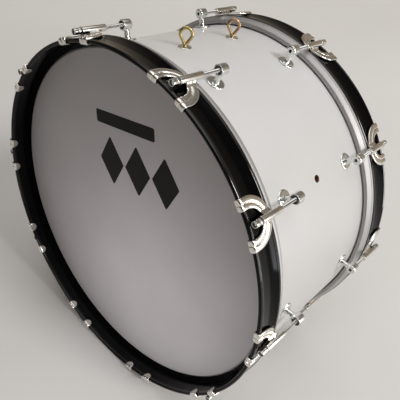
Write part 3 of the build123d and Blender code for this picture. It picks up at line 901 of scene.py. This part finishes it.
lugs, nuts, screws = around(lug()), around(swivel_nut()), around(lug_screw())
lug_washers = around(inner_washer(7.5, 1.2, LUG_MID))
for side, place in SIDES.items():
    piece(f"{side}_lug_set", moved(lugs, place), "shell", CHROME, [f"{side}_lugs"],
          sharp=50)
    piece(f"{side}_nut_set", moved(nuts, place), "shell", NUT_STEEL,
          [f"{side}_swivel_nuts"])
    piece(f"{side}_screw_set", moved(screws, place), "shell", STEEL,
          [f"{side}_lug_screws"])
    piece(f"{side}_lug_washer_set", moved(lug_washers, place), "shell", STEEL,
          [f"{side}_lug_washers"])


# ---------------------------------------------------------------------------
# Eye bolts
# ---------------------------------------------------------------------------
EYE_WIRE_R, EYE_LOOP_R = 2.5, 9.0
EYE_CENTRE, EYE_NECK, EYE_SHANK_END = WRAP_R + 19.5, WRAP_R + 2.8, WRAP_R - 24.0
EYE_NUT_FLATS, EYE_NUT_T = 10.0, 5.0


def tube_along(path, radius, count=24):
    """A round wire along a path in the XZ plane."""
    path = np.array(path, float)
    points = []
    for i, p in enumerate(path):
        ahead = path[min(i + 1, len(path) - 1)] - path[max(i - 1, 0)]
        ahead /= np.linalg.norm(ahead)
        side = np.array([-ahead[1], ahead[0]])
        for k in range(count):
            a = 2 * pi * k / count
            x, z = p + side * radius * cos(a)
            points.append((x, radius * sin(a), z))
    faces = grid_faces(len(path), count, False, True)
    faces += [tuple(range(count)), tuple(len(points) - count + k for k in range(count))]
    return np.array(points), faces


def eye_bolt():
    """A wire loop: one leg runs on as the shank, and the other is bent in to close on it."""
    leg_steps, loop_steps = 10, 64
    touch = asin(EYE_LOOP_R / (EYE_CENTRE - EYE_NECK))
    leg_x, leg_z = EYE_LOOP_R * cos(touch), EYE_CENTRE - EYE_LOOP_R * sin(touch) - EYE_NECK
    shares = [k / leg_steps for k in range(leg_steps)]
    path = [(-leg_x * share, EYE_NECK + leg_z * share) for share in shares]
    for k in range(loop_steps + 1):
        a = pi + touch - (pi + 2 * touch) * k / loop_steps
        path.append((EYE_LOOP_R * cos(a), EYE_CENTRE + EYE_LOOP_R * sin(a)))
    path += [(-x, z) for x, z in path[leg_steps - 1::-1]]
    shank = upright(turned([
        (0.0, EYE_NECK + 1.5), (2.0, EYE_NECK + 1.2), (EYE_WIRE_R, EYE_NECK + 0.2),
        (EYE_WIRE_R, EYE_SHANK_END + 0.6), (2.1, EYE_SHANK_END), (0.0, EYE_SHANK_END),
    ], 32, closed=False))
    turn = Matrix.Rotation(radians(EYE_TURN), 4, "Z")
    return at_depth(moved(joined([tube_along(path, EYE_WIRE_R), shank]), turn), EYE_DEPTH)


def eye_plate():
    hole = EYE_WIRE_R + HAIR
    plate = disc_on_wrap([
        (hole, 1.6), (7.0, 1.6), (9.3, 1.5), (10.1, 1.2), (10.5, 0.7), (10.5, 0.0), (hole, 0.0),
    ])
    return at_depth(plate, EYE_DEPTH)


def eye_nut():
    """A hexagon nut with broken edges. A row's share is of the way out to the hexagon."""
    count, broken = 36, 0.93
    bottom = SHELL_IN_R - 1.9 - EYE_NUT_T
    rows = ((None, 0.0), (broken, 0.0), (1.0, 0.5), (1.0, EYE_NUT_T - 0.5), (broken, EYE_NUT_T),
            (None, EYE_NUT_T))
    points = []
    for share, height in rows:
        for k in range(count):
            a = 2 * pi * k / count
            out = EYE_NUT_FLATS / 2 / cos((a % radians(60)) - radians(30))
            radius = out * share if share else SCREW_R
            points.append((radius * cos(a), radius * sin(a), bottom + height))
    nut = np.array(points), grid_faces(len(rows), count, True, True)
    return at_depth(nut, EYE_DEPTH)


eye_washer = inner_washer(9.0, 1.6, EYE_DEPTH)
for side, place in SIDES.items():
    piece(f"{side}_eye_wire", moved(eye_bolt(), place), "shell", YELLOW_ZINC[side],
          [f"{side}_eye_bolt"])
    piece(f"{side}_eye_base", moved(eye_plate(), place), "shell", PLATE,
          [f"{side}_eye_plate"])
    piece(f"{side}_eye_inner_washer", moved(eye_washer, place), "shell", STEEL,
          [f"{side}_eye_washer"])
    piece(f"{side}_eye_inner_nut", moved(eye_nut(), place), "shell", STEEL,
          [f"{side}_eye_nut"], sharp=25)


# ---------------------------------------------------------------------------
# Floor, light and camera, in metres
# ---------------------------------------------------------------------------
FLOOR_HALF = 14
signs = [(-1, -1), (1, -1), (1, 1), (-1, 1)]
corners = [(x * FLOOR_HALF, y * FLOOR_HALF, 0) for x, y in signs]
floor_mesh = bpy.data.meshes.new("floor")
floor_mesh.from_pydata(corners, [], [(0, 1, 2, 3)])
floor_mesh.materials.append(floor_material())
floor = bpy.data.objects.new("floor", floor_mesh)
bpy.context.scene.collection.objects.link(floor)


def new_light(name, kind, power, color):
    data = bpy.data.lights.new(name, kind)
    data.energy = power
    data.color = color
    light = bpy.data.objects.new(name, data)
    bpy.context.scene.collection.objects.link(light)
    return light, data


def aim(light, place, target):
    light.location = place
    light.rotation_euler = (Vector(target) - Vector(place)).to_track_quat("-Z", "Y").to_euler()


def panel(name, place, target, size, power, color):
    """A panel that only shows as a reflection."""
    light, data = new_light(name, "AREA", power, color)
    data.shape = "RECTANGLE"
    data.size, data.size_y = size
    aim(light, place, target)
    light.visible_camera = False
    light.visible_diffuse = False


def spot():
    """A soft lamp on the lower part of the front head."""
    light, data = new_light("spot", "SPOT", 46.0, (1.0, 0.98, 1.0))
    data.spot_size = radians(25)
    data.spot_blend = 1.0
    data.shadow_soft_size = 0.15
    aim(light, (0.05, -1.6, 0.42), (0.09, -0.153, 0.17))
    light.visible_camera = False


def window():
    """A far soft window on the right."""
    light, data = new_light("window", "SUN", 1.75, (1.0, 0.985, 0.96))
    data.angle = radians(18)
    light.rotation_euler = Vector((0.80, 0.06, 0.60)).to_track_quat("Z", "Y").to_euler()


def room():
    """A plain room: bright straight above, brown to the sides, dim towards the front."""
    bright = (1.45, 1.44, 1.42)
    world = bpy.data.worlds.new("room")
    bpy.context.scene.world = world
    world.use_nodes = True
    nodes, links = world.node_tree.nodes, world.node_tree.links
    direction = coordinates(nodes, links, "Generated")
    back = ramp(nodes, links, direction["Z"], [
        (0.0, (0.43, 0.365, 0.29)), (0.3, (0.34, 0.288, 0.225)), (0.74, (0.12, 0.11, 0.10)),
        (0.9, bright),
    ])
    front = ramp(nodes, links, direction["Z"], [
        (0.0, (0.11, 0.095, 0.09)), (0.74, (0.10, 0.09, 0.087)), (0.9, bright),
    ])
    share = spread(nodes, links, direction["Y"], (-0.35, 0.35), interpolation="SMOOTHSTEP")
    background = nodes["Background"]
    links.new(mixed(nodes, links, front, back, share), background.inputs["Color"])
    background.inputs["Strength"].default_value = 1.0


panel("side_panel", (1.7, 0.0, 0.55), (0.0, 0.0, 0.4), (0.2, 0.7), 3.0, (0.96, 0.98, 1.0))
panel("back_panel", (1.65, 0.82, 0.60), (0.3, 0.187, 0.45), (0.2, 1.1), 9.0, (0.94, 0.97, 1.0))
spot()
window()
room()

camera_data = bpy.data.cameras.new("camera")
camera_data.sensor_width = 36.0
camera_data.lens = 42.5
camera_data.shift_y = 0.0375
camera = bpy.data.objects.new("camera", camera_data)
camera.location = (0.4842, -0.5883, 0.8547)
camera.rotation_euler = (radians(52.493), radians(-8.008), radians(43.073))
bpy.context.scene.collection.objects.link(camera)
bpy.context.scene.camera = camera
bpy.context.scene.view_settings.view_transform = "Standard"
